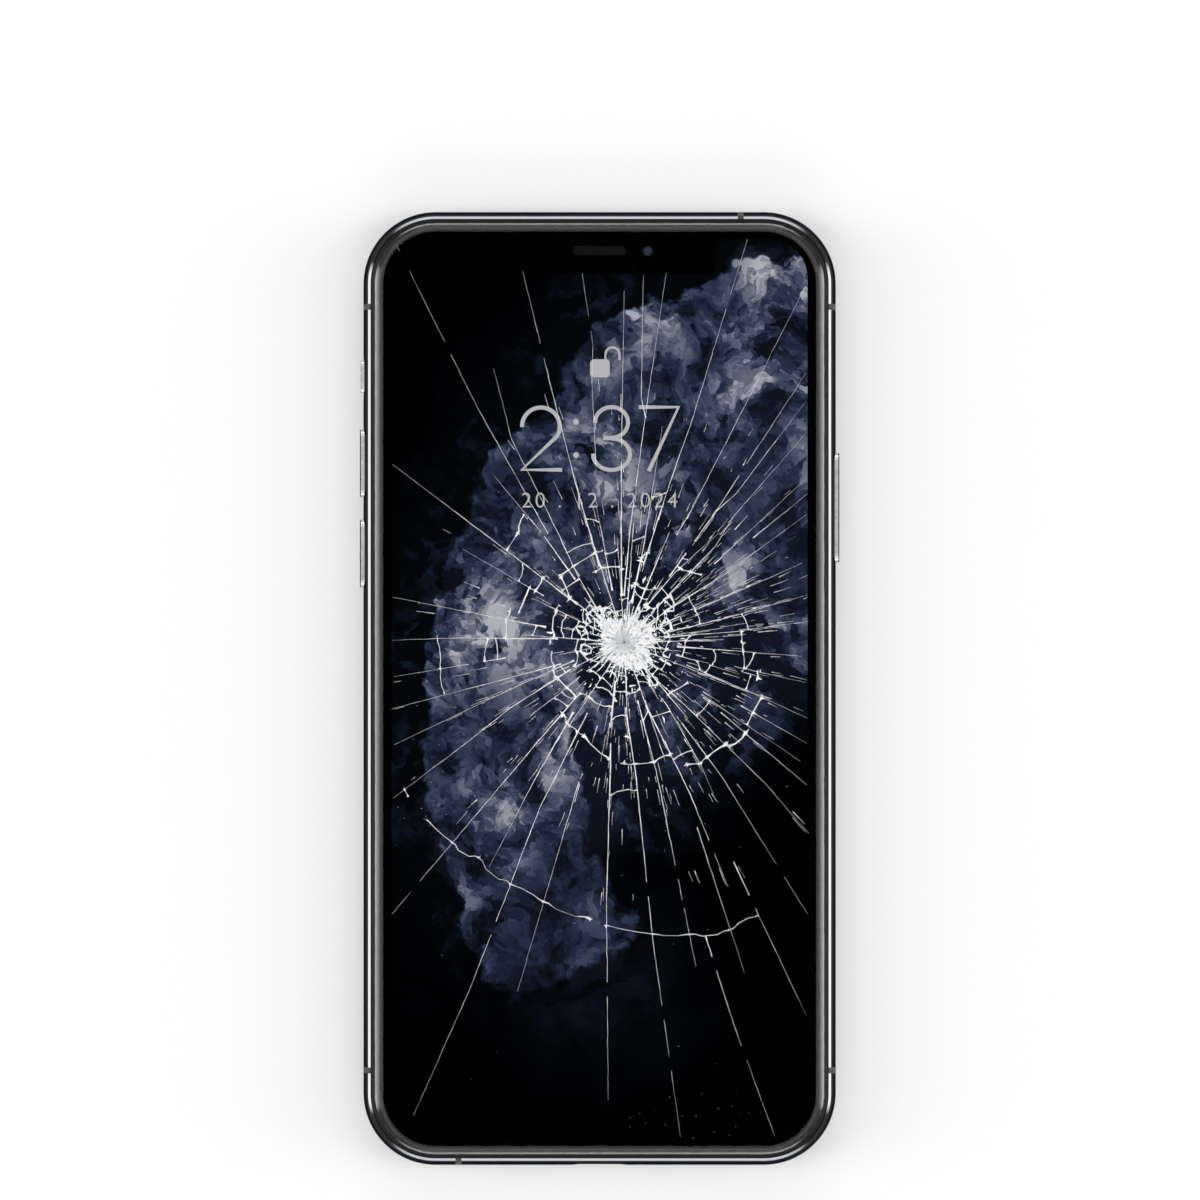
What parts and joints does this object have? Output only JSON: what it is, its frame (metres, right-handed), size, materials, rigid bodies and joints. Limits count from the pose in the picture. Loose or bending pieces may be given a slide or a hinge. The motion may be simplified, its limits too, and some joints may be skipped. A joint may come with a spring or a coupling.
{
  "type": "shattered screen phone",
  "caption": "Touch-screen phone in a polished steel band; cover glass cracked from one blow, lit lock screen, sprung side buttons, mute switch and slide-out card tray.",
  "frame": {"origin": "on the supporting surface, under the middle of the back glass", "axes": "+X to the right of the screen, +Y to the earpiece end, +Z out of the screen"},
  "size_m": [0.0724, 0.144, 0.0081],
  "materials": {
    "band_steel": "polished stainless steel, dark grey",
    "button_steel": "polished stainless steel",
    "break_plastic": "fine satin",
    "cover_glass": "polished, cracked from one blow",
    "back_glass": "frosted, backed with grey",
    "bezel_plastic": "fine satin",
    "display": "lit display, blue-grey cloud picture",
    "sheet_steel": "rolled sheet",
    "gasket": "matt",
    "flex": "amber film",
    "board": "solder mask",
    "module_plastic": "moulded",
    "mesh": "fine woven mesh",
    "lens_glass": "coated",
    "coil_copper": "lacquered copper",
    "ferrite": "matt",
    "flash_cover": "clear over phosphor",
    "battery_wrap": "satin film",
    "gold_contact": "plated",
    "motor_case": "satin"
  },
  "bodies": {
    "handset": {"band_left": "band_steel", "band_right": "band_steel", "band_top_left": "band_steel", "band_top_right": "band_steel", "band_bottom_left": "band_steel", "band_bottom_right": "band_steel", "antenna_breaks": "break_plastic", "cover_glass": "cover_glass", "back_glass": "back_glass", "display_bezel": "bezel_plastic", "back_bezel": "bezel_plastic", "display_panel": "display", "display_backing": "sheet_steel", "sensor_plate": "sheet_steel", "chassis_plate": "sheet_steel", "shield_cans": "sheet_steel", "sim_reader": "sheet_steel", "button_bracket_left": "sheet_steel", "button_bracket_right": "sheet_steel", "camera_trim": "sheet_steel", "port_shell": "sheet_steel", "end_screws": "sheet_steel", "board_screws": "sheet_steel", "rear_microphone": "sheet_steel", "display_seal": "gasket", "display_flex": "flex", "battery_connector": "flex", "button_strip_left": "flex", "button_strip_right": "flex", "main_board": "board", "radio_board": "board", "port_board": "board", "earpiece_speaker": "module_plastic", "front_camera": "module_plastic", "sensor_modules": "module_plastic", "mute_module": "module_plastic", "rear_camera_1": "module_plastic", "rear_camera_2": "module_plastic", "port_tongue": "module_plastic", "loudspeaker": "module_plastic", "earpiece_mesh": "mesh", "grille_mesh": "mesh", "front_lens": "lens_glass", "rear_lens_1": "lens_glass", "rear_lens_2": "lens_glass", "camera_pane": "lens_glass", "charging_coil": "coil_copper", "coil_ferrite": "ferrite", "flash_led": "flash_cover", "battery": "battery_wrap", "port_microphone": "gold_contact", "vibration_motor": "motor_case"},
    "volume_up": {"volume_up_button": "button_steel"},
    "volume_down": {"volume_down_button": "button_steel"},
    "power": {"power_button": "button_steel"},
    "mute": {"mute_switch": "button_steel"},
    "tray": {"sim_tray": "band_steel", "sim_card": "gold_contact"}
  },
  "joints": [
    {"name": "volume_up_press", "type": "slide", "parent": "handset", "child": "volume_up", "axis": [1, 0, 0], "range_m": [0, 0.00025], "stiffness_N_per_m": 1000, "springref_m": -0.0012},
    {"name": "volume_down_press", "type": "slide", "parent": "handset", "child": "volume_down", "axis": [1, 0, 0], "range_m": [0, 0.00025], "stiffness_N_per_m": 1000, "springref_m": -0.0012},
    {"name": "power_press", "type": "slide", "parent": "handset", "child": "power", "axis": [-1, 0, 0], "range_m": [0, 0.00025], "stiffness_N_per_m": 1000, "springref_m": -0.0012},
    {"name": "mute_slide", "type": "slide", "parent": "handset", "child": "mute", "axis": [0, 0, -1], "range_m": [0, 0.0009]},
    {"name": "tray_slide", "type": "slide", "parent": "handset", "child": "tray", "axis": [1, 0, 0], "range_m": [0, 0.018]}
  ]
}
